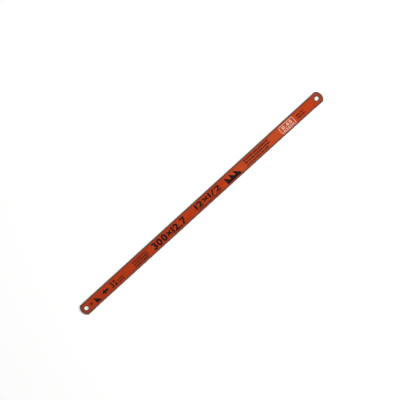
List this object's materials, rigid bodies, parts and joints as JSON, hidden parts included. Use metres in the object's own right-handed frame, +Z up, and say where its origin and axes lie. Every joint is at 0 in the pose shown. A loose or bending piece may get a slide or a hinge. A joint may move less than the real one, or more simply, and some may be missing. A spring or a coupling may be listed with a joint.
{
  "type": "hacksaw blade",
  "caption": "Painted steel hand hacksaw blade with rounded ends, a pin hole at each end and fine wave-set teeth along one edge.",
  "frame": {"origin": "under the blade's middle, at the height of its lowest tooth tips, which is the surface it lies on", "axes": "+X along the blade, the teeth on the -Y edge with their cutting faces towards -X, +Z up through the flat strip"},
  "size_m": [0.312, 0.0126, 0.001],
  "materials": {
    "paint": "orange-red enamel, printed in black"
  },
  "bodies": {
    "root": {"blade": "paint"}
  },
  "joints": []
}
